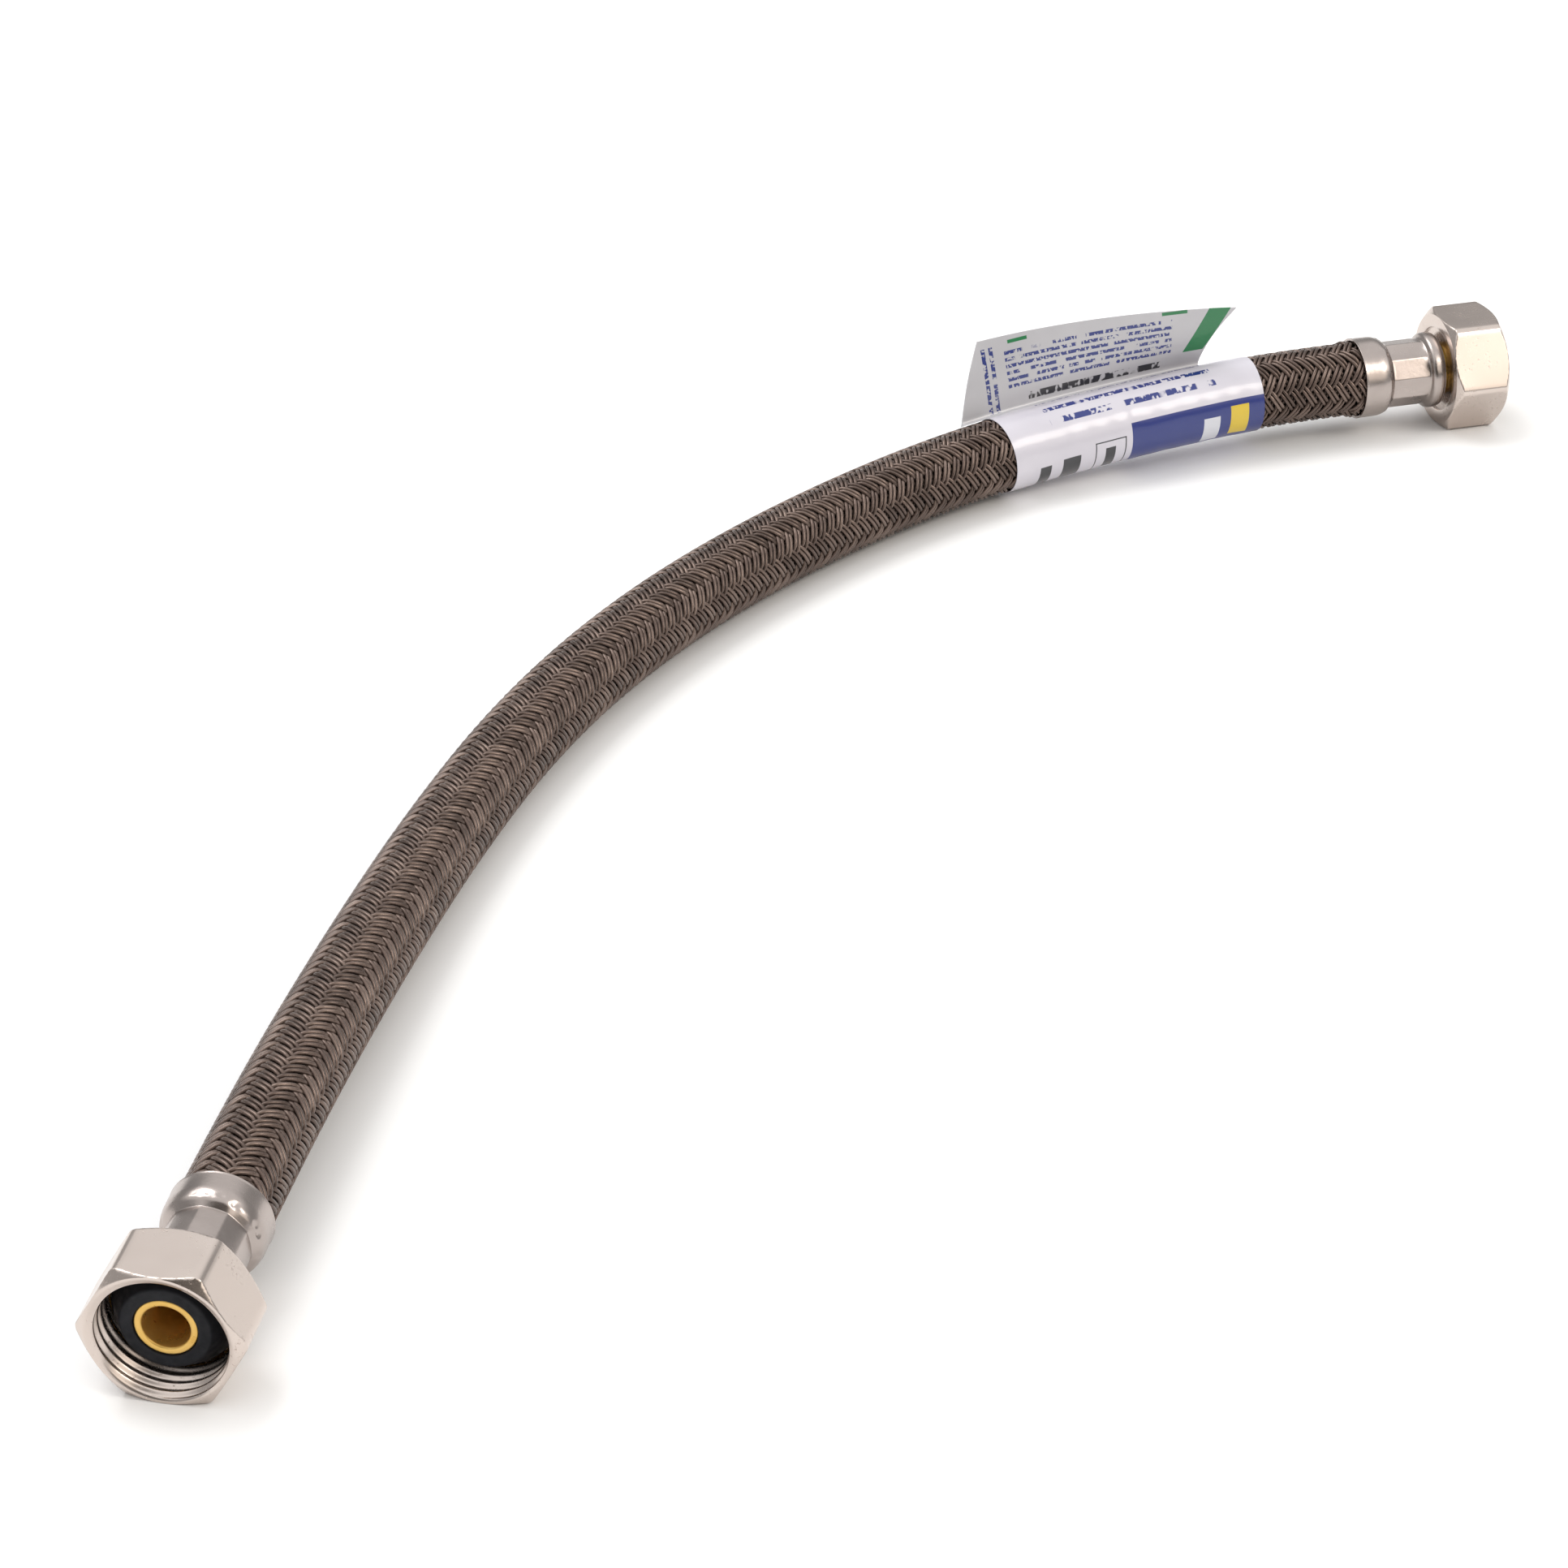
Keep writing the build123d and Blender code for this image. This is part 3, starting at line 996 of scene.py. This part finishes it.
# ======================================================================= frame
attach(braid, "hose")
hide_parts("braid_sleeve")
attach(liner, "hose")
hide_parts("inner_tube")
for piece in (wrap, flag):
    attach(piece, "hose")
    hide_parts("hose_label")
for end in END_FRAMES:
    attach(nuts[end], f"{end}_nut")
    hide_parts(f"{end}_swivel_nut")
    for piece, node, slot in (
        (ferrules[end], "ferrule", "ferrule"),
        (inserts[end], "insert", "insert"),
        (washers[end], "cone_washer", "washer"),
    ):
        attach(piece, "hose")
        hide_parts(f"{end}_{node}")


# ======================================================================= table and light
def flat_sheet(name, size, height):
    """A square sheet lying level, as part of the studio."""
    points = [(-size, -size, height), (size, -size, height), (size, size, height), (-size, size, height)]
    return build(name, points, [(0, 1, 2, 3)])


floor = flat_sheet("floor", 12000.0, FLOOR - 0.05)
made, tree, shader = material("white_table")
shader.inputs["Base Color"].default_value = (0.93, 0.93, 0.93, 1.0)
shader.inputs["Roughness"].default_value = 0.9
shader.inputs["Specular IOR Level"].default_value = 0.1
give(floor, made)


def lamp(name, place, aim, width, height, power, colour=(1.0, 1.0, 1.0)):
    """A soft rectangular lamp aimed at a point, both in metres."""
    data = bpy.data.lights.new(name, "AREA")
    data.shape = "RECTANGLE"
    data.size = width
    data.size_y = height
    data.energy = power
    data.color = colour
    holder = bpy.data.objects.new(name, data)
    holder.location = place
    holder.rotation_euler = (Vector(aim) - Vector(place)).to_track_quat("-Z", "Y").to_euler()
    bpy.context.scene.collection.objects.link(holder)


lamp("overhead_softbox", (-1.1, 0.7, 2.3), (0.08, 0.18, 0.0), 1.6, 1.6, 30.0)
lamp("right_softbox", (1.9, -0.3, 1.7), (0.1, 0.2, 0.0), 0.9, 0.9, 16.0, (1.0, 0.94, 0.86))

# The room round the table: bright above, dimmer low down, dark behind the camera, with one warm
# panel at the right. Each entry is a direction, the cosines where it starts and is full, a
# strength and a tint.
ROOM_LOW = 0.45
ROOM_HIGH = 1.15
ROOM_PATCHES = [
    ((0.249, -0.918, 0.310), 0.80, 0.89, 0.10, (1.0, 0.9, 0.8)),
    ((0.691, -0.527, 0.497), 0.93, 0.97, 1.6, (1.0, 0.93, 0.84)),
]

world = bpy.data.worlds.new("studio")
bpy.context.scene.world = world
world.use_nodes = True
room = world.node_tree
backdrop = room.nodes["Background"]
way = room.nodes.new("ShaderNodeTexCoord").outputs["Generated"]
split = room.nodes.new("ShaderNodeSeparateXYZ")
room.links.new(way, split.inputs[0])
level = span(room, split.outputs[2], 0.44, 0.62, ROOM_LOW, ROOM_HIGH)
glow = room.nodes.new("ShaderNodeCombineXYZ")
for socket in glow.inputs:
    room.links.new(level, socket)
glow = glow.outputs[0]
for direction, start, full, strength, tint in ROOM_PATCHES:
    facing = room.nodes.new("ShaderNodeVectorMath")
    facing.operation = "DOT_PRODUCT"
    room.links.new(way, facing.inputs[0])
    facing.inputs[1].default_value = direction
    share = span(room, facing.outputs["Value"], start, full)
    glow = blend(room, share, glow, tuple(strength * part for part in tint) + (1.0,))
room.links.new(glow, backdrop.inputs["Color"])
backdrop.inputs["Strength"].default_value = 1.0

bpy.context.scene.view_settings.view_transform = "Standard"
bpy.context.scene.view_settings.look = "None"
